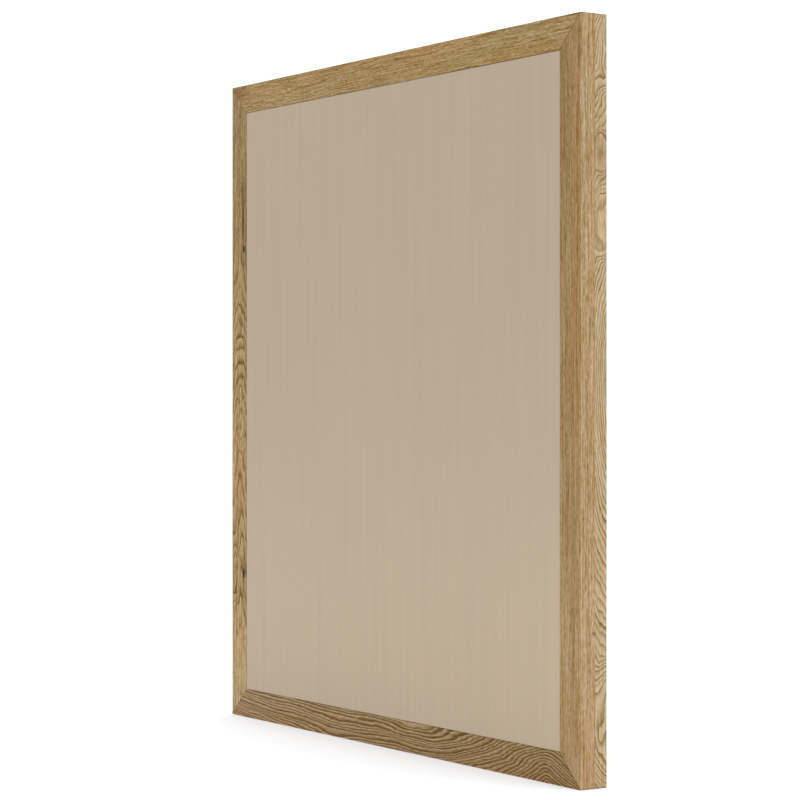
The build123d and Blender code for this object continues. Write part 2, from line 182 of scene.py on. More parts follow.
class PinBoardFittings(bpy.types.PropertyGroup):
    """Metal fittings and felt bumpers."""

    zinc: colour_setting("Zinc", "Clear-passivated zinc plate", "#AFB3B6")
    zinc_mark: length_setting("Zinc marks", "Size of the cloudy marks in the plate", 7.0)
    yellow_zinc: colour_setting("Yellow zinc", "Yellow-passivated screws", "#B9975A")
    nickel: colour_setting("Nickel", "Tumbled nickel plate", "#A69F92")
    nickel_mark: length_setting("Tumbling marks", "Size of the marks from tumbling", 0.5)
    felt: colour_setting("Felt", "Pressed wool bumpers", "#5A554E")
    # A wool hair is 0.03 mm wide and wouldn't show, so the pattern is of matted clumps.
    felt_fibre: length_setting("Felt fibre", "Width of a clump of fibres", 0.35)
    felt_edge: length_setting("Felt edge", "Radius of the soft rim", 0.6)


class PinBoardStage(bpy.types.PropertyGroup):
    """Floor, lights and camera."""

    floor: colour_setting("Floor", "Pale matt sweep", "#F1F4F8")
    floor_reach: length_setting("Floor reach", "Half the floor's side", 24000.0)
    surround: bpy.props.FloatProperty(
        name="Surround", description="Brightness of the white studio round it", min=0, default=1.145
    )
    side_power: bpy.props.FloatProperty(
        name="Side light", description="Power of the soft light on the right", unit="POWER",
        min=0, default=33.0,
    )
    top_power: bpy.props.FloatProperty(
        name="Top light", description="Power of the soft light overhead", unit="POWER",
        min=0, default=55.0,
    )
    low_power: bpy.props.FloatProperty(
        name="Low light", description="Power of the long light near the floor in front",
        unit="POWER", min=0, default=1.0,
    )
    distance: length_setting("Camera distance", "From the board's middle to the camera", 3436.9)
    lens: bpy.props.FloatProperty(
        name="Focal length", description="Of the camera, on a 36 mm sensor", unit="CAMERA",
        min=1, default=106.95,
    )


SETTINGS = {
    "pin_board_oak": PinBoardOak,
    "pin_board_panel": PinBoardPanel,
    "pin_board_fittings": PinBoardFittings,
    "pin_board_stage": PinBoardStage,
}


# ---------------------------------------------------------------- making materials


def fill(tree, node, inputs):
    """Fills a node's inputs, each from another node's first working output, from a socket or
    with a plain value. An input goes by its name, or by its place where names are shared: a
    Mix node's 0 is its share, 2 and 3 are two numbers, and 6 and 7 are two colours."""
    for key, value in inputs.items():
        if isinstance(value, bpy.types.Node):
            value = next(socket for socket in value.outputs if socket.enabled)
        if isinstance(value, bpy.types.NodeSocket):
            tree.links.new(value, node.inputs[key])
        else:
            node.inputs[key].default_value = value


def add(tree, kind, inputs=None, **settings):
    """Adds a node with its settings and what comes into it."""
    node = tree.nodes.new(kind)
    for key, value in settings.items():
        setattr(node, key, value)
    fill(tree, node, inputs or {})
    return node


def new_material(name, **constants):
    """An empty material with its shader, and the shader's plain values set."""
    material = bpy.data.materials.new(name)
    material.use_nodes = True
    tree = material.node_tree
    tree.nodes.clear()
    shader = add(tree, "ShaderNodeBsdfPrincipled", constants)
    add(tree, "ShaderNodeOutputMaterial", {"Surface": shader})
    return material, tree, shader


def model_place_mm(tree):
    """The point being shaded, in the model's frame, in millimetres."""
    metres = add(tree, "ShaderNodeTexCoord").outputs["Object"]
    return add(tree, "ShaderNodeVectorMath", {0: metres, "Scale": MM}, operation="SCALE")


def speckle(tree, place, size_mm, detail=2.0, distortion=0.0):
    """Soft noise whose lumps have that size in millimetres along the three directions of place,
    which is in millimetres too."""
    scaled = add(
        tree, "ShaderNodeVectorMath", {0: place, 1: [1 / s for s in size_mm]},
        operation="MULTIPLY",
    )
    return add(
        tree, "ShaderNodeTexNoise",
        {"Vector": scaled, "Scale": 1.0, "Detail": detail, "Distortion": distortion},
    )


def swayed(tree, value, amount, place, size_mm, detail):
    """A value that soft noise pushes up and down, by up to half the amount either way."""
    off = add(
        tree, "ShaderNodeMath", {0: speckle(tree, place, size_mm, detail), 1: 0.5},
        operation="SUBTRACT",
    )
    return add(tree, "ShaderNodeMath", {0: off, 1: amount, 2: value}, operation="MULTIPLY_ADD")


def dress(node, material):
    """Gives a CAD node one material all over."""
    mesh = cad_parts[node].data
    mesh.materials.clear()
    mesh.materials.append(material)


# ---------------------------------------------------------------- solid wood


@dataclass(frozen=True)
class Timber:
    """How one length was sawn from its log. Millimetres along the length from its left or
    lower end, in from its outer edge, and back from the board's face."""

    heart: tuple          # the middle of the growth rings
    ring: float           # between two rings
    taper: float = 900.0  # how many times longer than wide the ring shells are
    lean: float = 0.0     # rings crossed for each millimetre along
    line: float = 0.6     # how strongly the early wood shows
    fade: float = 2.4     # how quickly it thins out across the ring
    wander: float = 4.0   # how far the rings stray, in rings
    stray: tuple = (110.0, 16.0, 16.0)  # size of that straying
    pores: float = 0.5    # how strongly pores show
    fleck: float = 0.10   # how strongly fibres and rays show
    ends: tuple = (0.0, 0.0)  # brighter or darker at its first and last end
    ripple: float = 0.35  # how uneven each ring's edge is, in rings
    joints: tuple = (0.8, 0.8)  # how dark the glue shows at its first and last end
    swells: tuple = ()    # (centre, reach, rings) where the trunk bulged and the rings bend
    crotches: tuple = ()  # (centre, reach, rings) where they rise to a sharp point
    eyes: tuple = ()      # (centre, reach, rings, first) closed rings round a buried branch
    marks: tuple = ()     # (centre, reach, darkness) knots and mineral streaks
    # These tints are the wood's own other colours, and on the right stile also painted shade and a
    # painted highlight.
    tints_and_painted_light: tuple = ()     # (centre, reach, tint) places where the wood is another shade
    calms: tuple = ()     # (centre, reach, share) places where the early wood hardly shows
    seed: float = 0.0


# Which model axis runs along, in and back, and the signs that make each of them grow that way.
LIES = {
    "bottom": ("XZY", (1, 1, 1)),
    "top": ("XZY", (1, 1, -1)),
    "left": ("ZXY", (1, 1, 1)),
    "right": ("ZXY", (-1, 1, 1)),
}

FRONT_OAK = {
    # Flat-sawn: dark wavy lines along the rail that climb to a crotch near the right end.
    "bottom_rail": Timber(
        heart=(0, -120, -60), ring=4.6, line=2.0, fade=2.3, wander=3.6, stray=(130, 34, 34),
        pores=0.60, fleck=0.13, seed=1.0, ends=(0.08, -0.13), ripple=0.6,
        crotches=(
            ((828, 0, 0), (330, 900, 900), -16.5),
            ((-60, 0, 0), (460, 900, 900), -8.5),
        ),
        swells=(
            ((235, -2, 0), (190, 20, 60), 1.0),
            ((560, 30, 0), (150, 20, 60), 0.7),
            ((0, 62, 0), (330, 80, 200), 3.2),
        ),
        tints_and_painted_light=(((230, 2, 0), (130, 13, 40), (1.10, 1.10, 1.05)),),
    ),
    # Rift-sawn: calm, fine fleck, and loose waves at its left end.
    "top_rail": Timber(
        heart=(0, -60, -120), ring=2.9, line=0.40, wander=3.0, stray=(150, 22, 22),
        pores=0.55, fleck=0.20, seed=2.0, lean=0.004, joints=(0.3, 0.8),
        swells=(((85, 16, 0), (110, 34, 60), 2.6), ((215, 34, 0), (120, 26, 60), -1.8)),
        tints_and_painted_light=(
            ((10, 8, 0), (55, 26, 40), (0.74, 0.66, 0.52)),
            ((470, 6, 0), (330, 22, 40), (1.03, 0.96, 0.90)),
            ((700, 34, 0), (260, 18, 40), (0.96, 0.97, 0.90)),
        ),
    ),
    # Flat-sawn at its heart: arches that point up the stile, eyes, small knots, a brown streak.
    "left_stile": Timber(
        heart=(0, 25, -14), ring=8.2, lean=0.021, line=1.1, fade=3.0, wander=1.6, ripple=0.30,
        stray=(90, 14, 14), pores=0.45, fleck=0.17, seed=3.0, ends=(-0.11, -0.30),
        joints=(0.6, 0.3),
        swells=(
            ((700, 25, 0), (210, 400, 400), 3.8),
            ((320, 12, 0), (120, 18, 40), 0.8),
        ),
        calms=(((30, 22, 0), (180, 90, 60), 0.65), ((930, 22, 0), (215, 90, 60), 0.70)),
        eyes=(
            ((237, 11, 0), (66, 17, 20), 2.5, 0.30),
            ((462, 28, 0), (46, 15, 20), 2.4, 0.22),
            ((515, 26, 0), (28, 12, 20), 1.4, 0.45),
        ),
        marks=(
            ((227, 36.5, 0), (11, 5, 14), 1.3),
            ((741, 36.5, 0), (9, 4.5, 14), 1.3),
        ),
        tints_and_painted_light=(
            ((60, 30, 0), (260, 30, 40), (1.06, 1.08, 1.12)),
            ((500, 20, 0), (270, 60, 60), (1.08, 1.09, 1.12)),
            ((930, 22, 0), (260, 90, 60), (0.90, 0.91, 0.95)),
            ((229, 37, 0), (38, 9, 14), (0.68, 0.60, 0.48)),
            ((796, 34, 0), (66, 7.5, 14), (0.58, 0.49, 0.36)),
            ((775, 35.5, 0), (46, 2.8, 14), (0.60, 0.50, 0.36)),
            ((850, 33, 0), (60, 2.8, 14), (0.74, 0.66, 0.52)),
            ((620, 27, 0), (24, 9, 14), (0.70, 0.62, 0.50)),
            ((835, 30, 0), (16, 9, 14), (0.80, 0.74, 0.64)),
            ((195, 12, 0), (60, 2.8, 9), (0.72, 0.64, 0.52)),
            ((189, 34, 0), (26, 3.2, 9), (0.74, 0.67, 0.56)),
            ((122, 34, 0), (24, 4.2, 9), (0.78, 0.72, 0.62)),
            ((215, 40, 0), (110, 14, 40), (0.86, 0.83, 0.78)),
            ((150, 22, 0), (120, 3, 40), (0.84, 0.80, 0.74)),
            ((880, 6, 0), (170, 5, 40), (0.88, 0.88, 0.80)),
            ((860, 22, 0), (130, 3, 40), (0.84, 0.82, 0.76)),
            ((720, 40, 0), (260, 9, 40), (0.88, 0.86, 0.82)),
            ((130, 0, 0), (280, 5, 40), (0.80, 0.74, 0.66)),
            ((95, 13, 0), (150, 2.6, 40), (0.84, 0.79, 0.72)),
            ((110, 29, 0), (130, 2.6, 40), (0.86, 0.82, 0.76)),
        ),
    ),
    # Rift-sawn: fine straight grain, olive along the inner edge and redder along the outer. Painted
    # shade tints its front face darker and yellower than its side, and a painted highlight runs
    # along the arris between them.
    "right_stile": Timber(
        heart=(0, -90, -110), ring=3.4, line=0.30, wander=3.0, stray=(240, 14, 16),
        pores=0.50, fleck=0.165, seed=4.0, ends=(0.0, -0.10),
        marks=(((200, 0, 24), (4, 5, 7), 0.5),),
        tints_and_painted_light=(
            # Painted shade: on the front face only, darker and yellower than the side, for the
            # light that falls on the side.
            ((500, 22, 0), (9000, 9000, 0.4), (0.93, 0.92, 0.82)),
            # Painted highlight: a pale line along the arris between the front face and the side.
            ((500, 0, 1.6), (9000, 0.8, 2.6), (1.13, 1.15, 1.15)),
            ((880, 0, 10), (420, 1.5, 20), (1.05, 1.09, 1.17)),
            ((930, 44, 0), (420, 30, 16), (0.84, 0.86, 0.74)),
            ((400, 30, 0), (200, 14, 10), (0.88, 0.86, 0.82)),
            ((240, 15, 0), (300, 6, 8), (0.86, 0.82, 0.78)),
            ((330, 26, 0), (160, 3, 8), (0.88, 0.85, 0.80)),
            ((520, 17, 0), (180, 5, 8), (0.88, 0.84, 0.78)),
            ((600, 31, 0), (150, 3, 8), (0.90, 0.88, 0.82)),
            ((760, 6, 0), (520, 18, 0.4), (1.04, 0.94, 0.85)),
            ((250, 44, 0), (420, 16, 16), (0.98, 1.02, 0.95)),
        ),
    ),
}

BACK_OAK = {
    # The strip on the right side: wide oval shells round a heart just past its back edge,
    # broken by eyes where small branches came through.
    "right_back_strip": Timber(
        heart=(520, 8, 57), ring=3.05, taper=4.3, line=1.0, wander=1.5, ripple=0.5,
        stray=(46, 14, 14), pores=0.30, fleck=0.09, seed=5.0,
        eyes=(
            ((84, 0, 60), (96, 60, 58), 2.4, 0.05),
            ((729, 0, 38), (56, 50, 24), 1.5, 0.42),
            ((822, 0, 34), (36, 40, 15), 1.0, 0.12),
            ((960, 0, 74), (90, 60, 58), 8.0, -7.0),
        ),
        swells=tuple(((z, 0, 46), (20, 60, 18), -1.8) for z in (897, 936, 975)),
        tints_and_painted_light=(((822, 0, 34), (60, 40, 24), (0.82, 0.78, 0.72)),),
    ),
    "left_back_strip": Timber(
        heart=(300, 12, 52), ring=3.1, taper=5.0, line=0.90, seed=6.0, stray=(46, 12, 12),
        wander=1.8, fleck=0.06, eyes=(((640, 4, 38), (60, 16, 16), 2.4, 0.4),),
    ),
    "top_back_strip": Timber(
        heart=(620, 10, 56), ring=3.0, taper=8.0, line=0.90, seed=7.0, stray=(60, 12, 12),
        wander=2.0, fleck=0.06, eyes=(((250, 9, 43), (70, 12, 16), 2.6, 0.4),),
    ),
    "bottom_back_strip": Timber(
        heart=(200, -20, 30), ring=3.0, taper=40.0, line=0.85, seed=8.0, stray=(90, 12, 12),
        wander=2.6, fleck=0.07, crotches=(((690, 0, 40), (260, 900, 900), -7.0),),
    ),
}


def grain_place(tree, lie):
    """The point being shaded as along, in and back, in millimetres."""
    order, signs = LIES[lie]
    starts = [-LOW[i] * MM if signs[i] > 0 else HIGH[i] * MM for i in range(3)]
    metres = add(tree, "ShaderNodeTexCoord").outputs["Object"]
    turned = add(
        tree, "ShaderNodeVectorMath", {0: metres, 1: [s * MM for s in signs], 2: starts},
        operation="MULTIPLY_ADD",
    )
    parts = add(tree, "ShaderNodeSeparateXYZ", {0: turned})
    return add(tree, "ShaderNodeCombineXYZ", {i: parts.outputs[a] for i, a in enumerate(order)})


def reached(tree, place, centre, reach, kind):
    """1 at a centre and 0 past its reach, by a gradient texture of that kind."""
    within = add(
        tree, "ShaderNodeMapping", {"Vector": place, "Location": centre, "Scale": reach},
        vector_type="TEXTURE",
    )
    return add(tree, "ShaderNodeTexGradient", {0: within}, gradient_type=kind)


def spot(tree, place, centre, reach, full=1.0):
    """A soft spot: full strength from the given share of the way in, and 0 past its reach."""
    share = reached(tree, place, centre, reach, "SPHERICAL")
    return add(
        tree, "ShaderNodeMapRange", {"Value": share, "From Max": full},
        interpolation_type="SMOOTHSTEP",
    )


def growth_rings(tree, timber, place, strayed):
    """How many rings out from the heart the point is."""
    from_heart = add(
        tree, "ShaderNodeMapping",
        {"Vector": place, "Location": timber.heart, "Scale": (timber.taper, 1, 1)},
        vector_type="TEXTURE",
    )
    out = add(tree, "ShaderNodeVectorMath", {0: from_heart}, operation="LENGTH")
    rings = add(tree, "ShaderNodeMath", {0: out, 1: timber.ring}, operation="DIVIDE")
    if timber.lean:
        along = add(tree, "ShaderNodeSeparateXYZ", {0: place})
        rings = add(
            tree, "ShaderNodeMath", {0: along, 1: timber.lean, 2: rings},
            operation="MULTIPLY_ADD",
        )
    for centre, reach, amount, first in timber.eyes:
        # Rings here are counted out from the branch, and join the trunk's own past its reach.
        off = [(a - b) / s for a, b, s in zip(centre, timber.heart, (timber.taper, 1, 1))]
        trunk = Vector(off).length / timber.ring + timber.lean * centre[0]
        start = int(trunk) + first - YEARS_PUSH / 2
        away = reached(tree, place, centre, reach, "SPHERICAL")
        inner = add(
            tree, "ShaderNodeMath", {0: away, 1: -amount, 2: start + amount},
            operation="MULTIPLY_ADD",
        )
        share = add(
            tree, "ShaderNodeMapRange", {"Value": away, "From Max": TAKE_OVER},
            interpolation_type="SMOOTHSTEP",
        )
        rings = add(tree, "ShaderNodeMix", {0: share, 2: rings, 3: inner})
    bends = [(spot(tree, place, c, r), amount) for c, r, amount in timber.swells]
    bends += [
        (reached(tree, place, c, r, "QUADRATIC_SPHERE"), amount)
        for c, r, amount in timber.crotches
    ]
    for share, amount in bends:
        rings = add(
            tree, "ShaderNodeMath", {0: share, 1: amount, 2: rings}, operation="MULTIPLY_ADD"
        )
    # A slow straying of the rings, and a quick unevenness of each ring's edge.
    for size, amount in ((timber.stray, timber.wander), (EDGE_LUMPS, timber.ripple)):
        rings = swayed(tree, rings, amount, strayed, size, 1.0)
    # Good and poor years make wide and narrow rings.
    years = add(tree, "ShaderNodeMath", {0: rings, 1: YEARS_PACE}, operation="MULTIPLY")
    years = add(
        tree, "ShaderNodeTexNoise", {"W": years, "Scale": 1.0, "Detail": 1.0},
        noise_dimensions="1D",
    )
    return add(
        tree, "ShaderNodeMath", {0: years, 1: YEARS_PUSH, 2: rings}, operation="MULTIPLY_ADD"
    )


def early_wood(tree, rings, fade):
    """The porous line that starts each year's ring: sudden on one side, fading on the other,
    and stronger in some years than in others."""
    age = add(tree, "ShaderNodeMath", {0: rings}, operation="FRACT")
    rise = add(
        tree, "ShaderNodeMapRange", {"Value": age, "From Max": LINE_RISE},
        interpolation_type="SMOOTHSTEP",
    )
    left = add(tree, "ShaderNodeMath", {0: 1.0, 1: age}, operation="SUBTRACT")
    line = add(tree, "ShaderNodeMath", {0: left, 1: fade}, operation="POWER")
    line = add(tree, "ShaderNodeMath", {0: rise, 1: line}, operation="MULTIPLY")
    year = add(tree, "ShaderNodeMath", {0: rings}, operation="FLOOR")
    chance = add(tree, "ShaderNodeTexWhiteNoise", {"W": year}, noise_dimensions="1D")
    strength = add(
        tree, "ShaderNodeMapRange", {"Value": chance, "To Min": POOR_YEAR, "To Max": GOOD_YEAR}
    )
    return add(tree, "ShaderNodeMath", {0: line, 1: strength}, operation="MULTIPLY")


def mitre_line(tree, place, length, joints):
    """How strongly the glue of the mitre at either end of a length shows. The real line is
    about 0.1 mm wide. It is drawn 0.5 mm wide, and is gone 0.35 mm further out, so that it
    shows."""
    parts = add(tree, "ShaderNodeSeparateXYZ", {0: place})
    first = add(
        tree, "ShaderNodeMath", {0: parts.outputs[0], 1: parts.outputs[1]}, operation="SUBTRACT"
    )
    both = add(
        tree, "ShaderNodeMath", {0: parts.outputs[0], 1: parts.outputs[1]}, operation="ADD"
    )
    last = add(tree, "ShaderNodeMath", {0: length, 1: both}, operation="SUBTRACT")
    lines = [
        add(
            tree, "ShaderNodeMapRange",
            {
                "Value": add(tree, "ShaderNodeMath", {0: away}, operation="ABSOLUTE"),
                "From Min": GLUE_HALF, "From Max": GLUE_HALF + GLUE_FADE,
                "To Min": strength, "To Max": 0.0,
            },
        )
        for away, strength in zip((first, last), joints)
    ]
    return add(tree, "ShaderNodeMath", {0: lines[0], 1: lines[1]}, operation="MAXIMUM")


def solid_wood(name, timber, lie, pale, tints, sizes, roughness, length=None):
    """Wood with its rings, pores and fibres running right through it, so that every face,
    edge and end of a piece shows the part of the log that it is. A length in millimetres is
    given for a piece that is mitred at both ends."""
    # Low, because the wood is bare or has its oil and wax in it, with hardly any film on it.
    material, tree, shader = new_material(name, **{"Specular IOR Level": 0.1})
    place = grain_place(tree, lie)
    offset = [step * timber.seed for step in SEED_STEPS]
    strayed = add(tree, "ShaderNodeVectorMath", {0: place, 1: offset}, operation="ADD")
    rings = growth_rings(tree, timber, place, strayed)
    early = early_wood(tree, rings, timber.fade)
    pore_length, pore_width, fibre_length, fibre_width, relief = sizes
    pore_noise = speckle(tree, strayed, (pore_length, pore_width, pore_width), 1.0)
    pores = add(
        tree, "ShaderNodeMapRange",
        {"Value": pore_noise, "From Min": PORE_STARTS, "From Max": PORE_FULL},
    )
    # Some pores stand in the late wood as well.
    porous = add(
        tree, "ShaderNodeMath", {0: early, 1: 0.8, 2: 0.2}, operation="MULTIPLY_ADD",
        use_clamp=True,
    )
    pores = add(tree, "ShaderNodeMath", {0: pores, 1: porous}, operation="MULTIPLY")
    # Long fibres, and short flecks where rays and vessels are cut through.
    bright = 0.0
    for size, detail in (
        ((fibre_length, fibre_width, fibre_width), 3.0),
        ((fibre_length / 7, fibre_width * 0.8, fibre_width * 0.8), 2.0),
    ):
        bright = swayed(tree, bright, FLECK_GAIN * timber.fleck, strayed, size, detail)
    ends = add(
        tree, "ShaderNodeMapRange",
        {
            "Value": add(tree, "ShaderNodeSeparateXYZ", {0: place}), "From Max": HIGH.z * MM,
            "To Min": timber.ends[0], "To Max": timber.ends[1],
        },
    )
    bright = add(tree, "ShaderNodeMath", {0: bright, 1: ends}, operation="ADD")
    bright = add(
        tree, "ShaderNodeMath", {0: pores, 1: -PORE_DARKENS * timber.pores, 2: bright},
        operation="MULTIPLY_ADD",
    )
    drift = add(
        tree, "ShaderNodeMapRange",
        {"Value": speckle(tree, strayed, BLUSH_SIZE), "From Min": 0.38, "From Max": 0.62},
    )
    early_tint, blush, knot, glue = tints
    body = add(
        tree, "ShaderNodeMix", {0: drift, 6: pale, 7: tinted(pale, blush)}, data_type="RGBA"
    )
    lines = add(
        tree, "ShaderNodeMath", {0: early, 1: timber.line}, operation="MULTIPLY", use_clamp=True
    )
    for centre, reach, share in timber.calms:
        calm = add(
            tree, "ShaderNodeMath", {0: spot(tree, place, centre, reach, 0.6), 1: -share, 2: 1.0},
            operation="MULTIPLY_ADD",
        )
        lines = add(tree, "ShaderNodeMath", {0: lines, 1: calm}, operation="MULTIPLY")
    deep = add(
        tree, "ShaderNodeMix", {0: 1.0, 6: body, 7: early_tint}, data_type="RGBA",
        blend_type="MULTIPLY",
    )
    body = add(tree, "ShaderNodeMix", {0: lines, 6: body, 7: deep}, data_type="RGBA")
    # Where wood is darker it is browner too: the blue falls most.
    cast = add(
        tree, "ShaderNodeVectorMath", {0: bright, 1: STREAK_CAST, 2: (1, 1, 1)},
        operation="MULTIPLY_ADD",
    )
    cast = add(
        tree, "ShaderNodeVectorMath", {0: cast, 1: (DARKEST_STREAK,) * 3}, operation="MAXIMUM"
    )
    body = add(tree, "ShaderNodeVectorMath", {0: body, 1: cast}, operation="MULTIPLY")
    # The wood's own other colours, and also the painted shade and painted highlight that the right
    # stile lists.
    for centre, reach, tint in timber.tints_and_painted_light:
        cast = spot(tree, place, centre, reach, 0.8)
        shaded = add(tree, "ShaderNodeVectorMath", {0: body, 1: tint}, operation="MULTIPLY")
        body = add(tree, "ShaderNodeMix", {0: cast, 6: body, 7: shaded}, data_type="RGBA")
    for centre, reach, darkness in timber.marks:
        mark = spot(tree, place, centre, reach, 0.7)
        mark = add(tree, "ShaderNodeMath", {0: mark, 1: darkness}, operation="MULTIPLY")
        body = add(tree, "ShaderNodeMix", {0: mark, 6: body, 7: knot}, data_type="RGBA")
    if length:
        body = add(
            tree, "ShaderNodeMix",
            {0: mitre_line(tree, place, length, timber.joints), 6: body, 7: glue},
            data_type="RGBA",
        )
    # Pores and early wood lie a little deeper than the rest, and the pores are duller too.
    height = add(tree, "ShaderNodeMath", {0: pores, 1: 1.0, 2: lines}, operation="MULTIPLY_ADD")
    bump = add(
        tree, "ShaderNodeBump", {"Strength": 0.35, "Distance": relief / MM, "Height": height},
        invert=True,
    )
    gloss = add(
        tree, "ShaderNodeMath", {0: pores, 1: 0.12, 2: roughness}, operation="MULTIPLY_ADD"
    )
    fill(tree, shader, {"Base Color": body, "Roughness": gloss, "Normal": bump})
    return material


def wood_tints(scene):
    """Early wood, blush, knot and glue: the tints that every wood here starts from."""
    look = scene.pin_board_oak
    return [look.early_wood, look.blush, look.knot, look.glue]


class PINBOARD_OT_oak(bpy.types.Operator):
    """Finish the four oak mouldings and the four strips glued behind them"""

    bl_idname = "pin_board.oak"
    bl_label = "Oak frame"

    def execute(self, context):
        look = context.scene.pin_board_oak
        tints = wood_tints(context.scene)
        sizes = [
            v * MM for v in
            (look.pore_length, look.pore_width, look.fibre_length, look.fibre_width, look.relief)
        ]
        # Oak, planed and oiled with a matt hardwax: open pores, a soft sheen, and a different
        # cut of the log in every length, so that the mitres and the glue line read.
        for node, timber in {**FRONT_OAK, **BACK_OAK}.items():
            lie = node.split("_")[0]
            length = (HIGH.z if LIES[lie][0][0] == "Z" else HIGH.x - LOW.x) * MM
            dress(
                node,
                solid_wood(
                    f"oak_oiled_{node}", timber, lie, tuple(getattr(look, node)), tints, sizes,
                    0.52, length,
                ),
            )
        return {"FINISHED"}


class PINBOARD_OT_tenons(bpy.types.Operator):
    """Finish the beech loose tenons in the mitres"""

    bl_idname = "pin_board.tenons"
    bl_label = "Mitre tenons"

    def execute(self, context):
        look = context.scene.pin_board_panel
        # Beech, planed: even pinkish wood with no open pores. What would be its pores here are
        # its short brown ray flecks, 3 mm by 0.35 mm. Its fibres are drawn coarser than real.
        timber = Timber(
            heart=(0, -300, -200), ring=2.8, line=0.12, pores=0.30, fleck=0.08, seed=9.0
        )
        material = solid_wood(
            "beech_planed", timber, "bottom", tuple(look.beech), wood_tints(context.scene),
            (3.0, 0.35, 40.0, 0.8, 0.03), 0.6,
        )
        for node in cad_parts:
            if node.startswith("mitre_tenons"):
                dress(node, material)
        return {"FINISHED"}


# ---------------------------------------------------------------- panel


class PINBOARD_OT_pin_surface(bpy.types.Operator):
    """Finish the cork linoleum that pins go into"""

    bl_idname = "pin_board.pin_surface"
    bl_label = "Pin surface"

    def execute(self, context):
        look = context.scene.pin_board_panel
        # Cork linoleum, calendered, one colour all through: a dry matt skin of finely ground
        # cork in linseed oil, with faint streaks up the sheet from the rollers.
        material, tree, shader = new_material(
            "cork_linoleum_calendered", **{"Specular IOR Level": 0.35}
        )
        place = model_place_mm(tree)
        crumb, drag = look.crumb * MM, look.drag * MM
        # Crumbs, broad and fine streaks from the rollers, and wide cloudy patches.
        crumbs = speckle(tree, place, (crumb, crumb, crumb), 3.0)
        streaks = speckle(tree, place, (crumb * 9, crumb * 9, drag), 1.0)
        lines = speckle(tree, place, (crumb * 2.5, crumb * 2.5, drag / 2), 1.0)
        clouds = speckle(tree, place, (90, 90, 140), 2.0)
        # How much brightness each pattern carries. Noise is a half on average, and they start
        # low enough to leave the mean as it is.
        patterns = ((crumbs, 0.05), (streaks, 0.09), (lines, 0.04), (clouds, 0.03))
        bright = 1 - sum(amount for _, amount in patterns) / 2
        for pattern, amount in patterns:
            bright = add(
                tree, "ShaderNodeMath", {0: pattern, 1: amount, 2: bright},
                operation="MULTIPLY_ADD",
            )
        dark_crumbs = add(
            tree, "ShaderNodeMapRange",
            {
                "Value": speckle(tree, place, (crumb * 0.6,) * 3, 0.0), "From Min": 0.62,
                "From Max": 0.75, "To Max": 0.16,
            },
        )
        body = add(
            tree, "ShaderNodeMix",
            {0: dark_crumbs, 6: tuple(look.linoleum), 7: tinted(look.linoleum, (0.72, 0.66, 0.6))},
            data_type="RGBA",
        )
        body = add(
            tree, "ShaderNodeVectorMath", {0: body, "Scale": bright}, operation="SCALE"
        )
        rough = add(
            tree, "ShaderNodeMapRange", {"Value": crumbs, "To Min": 0.62, "To Max": 0.82}
        )
        bump = add(
            tree, "ShaderNodeBump", {"Strength": 0.3, "Distance": 0.00012, "Height": crumbs}
        )
        fill(tree, shader, {"Base Color": body, "Roughness": rough, "Normal": bump})
        dress("cork_sheet", material)
        return {"FINISHED"}


class PINBOARD_OT_jute(bpy.types.Operator):
    """Finish the jute cloth that the linoleum is made on"""

    bl_idname = "pin_board.jute"
    bl_label = "Jute backing"

    def execute(self, context):
        look = context.scene.pin_board_panel
        # Jute cloth, plain woven: coarse hairy threads over and under, gold-brown.
        material, tree, shader = new_material("jute_plain_woven", **{"Roughness": 0.9})
        metres = add(tree, "ShaderNodeTexCoord").outputs["Object"]
        scale = math.tau / WAVE_TURN / look.jute_thread
        threads = [
            add(
                tree, "ShaderNodeTexWave", {"Vector": metres, "Scale": scale, "Distortion": 0.6},
                bands_direction=way,
            )
            for way in ("X", "Z")
        ]
        weave = add(tree, "ShaderNodeMath", {0: threads[0], 1: threads[1]}, operation="MAXIMUM")
        body = add(
            tree, "ShaderNodeMix",
            {0: weave, 6: tinted(look.jute, (0.5, 0.45, 0.4)), 7: tuple(look.jute)},
            data_type="RGBA",
        )
        bump = add(
            tree, "ShaderNodeBump", {"Strength": 0.6, "Distance": 0.0003, "Height": weave}
        )
        fill(tree, shader, {"Base Color": body, "Normal": bump})
        dress("jute_backing", material)
        return {"FINISHED"}


class PINBOARD_OT_core(bpy.types.Operator):
    """Finish the softboard core behind the pin surface"""

    bl_idname = "pin_board.core"
    bl_label = "Softboard core"

    def execute(self, context):
        look = context.scene.pin_board_panel
        # Wood-fibre softboard, pressed: matted brown fibre with a loose, dusty face.
        material, tree, shader = new_material("softboard_pressed", **{"Roughness": 0.95})
        place = model_place_mm(tree)
        size = look.softboard_fibre * MM
        fibre = speckle(tree, place, (size, size / 3, size), 4.0, 1.5)
        body = add(
            tree, "ShaderNodeMix",
            {
                0: fibre, 6: tinted(look.softboard, (0.62, 0.6, 0.58)),
                7: tinted(look.softboard, (1.3, 1.3, 1.3)),
            },
            data_type="RGBA",
        )
        bump = add(
            tree, "ShaderNodeBump", {"Strength": 0.7, "Distance": 0.0004, "Height": fibre}
        )
        fill(tree, shader, {"Base Color": body, "Normal": bump})
        dress("softboard_core", material)
        return {"FINISHED"}


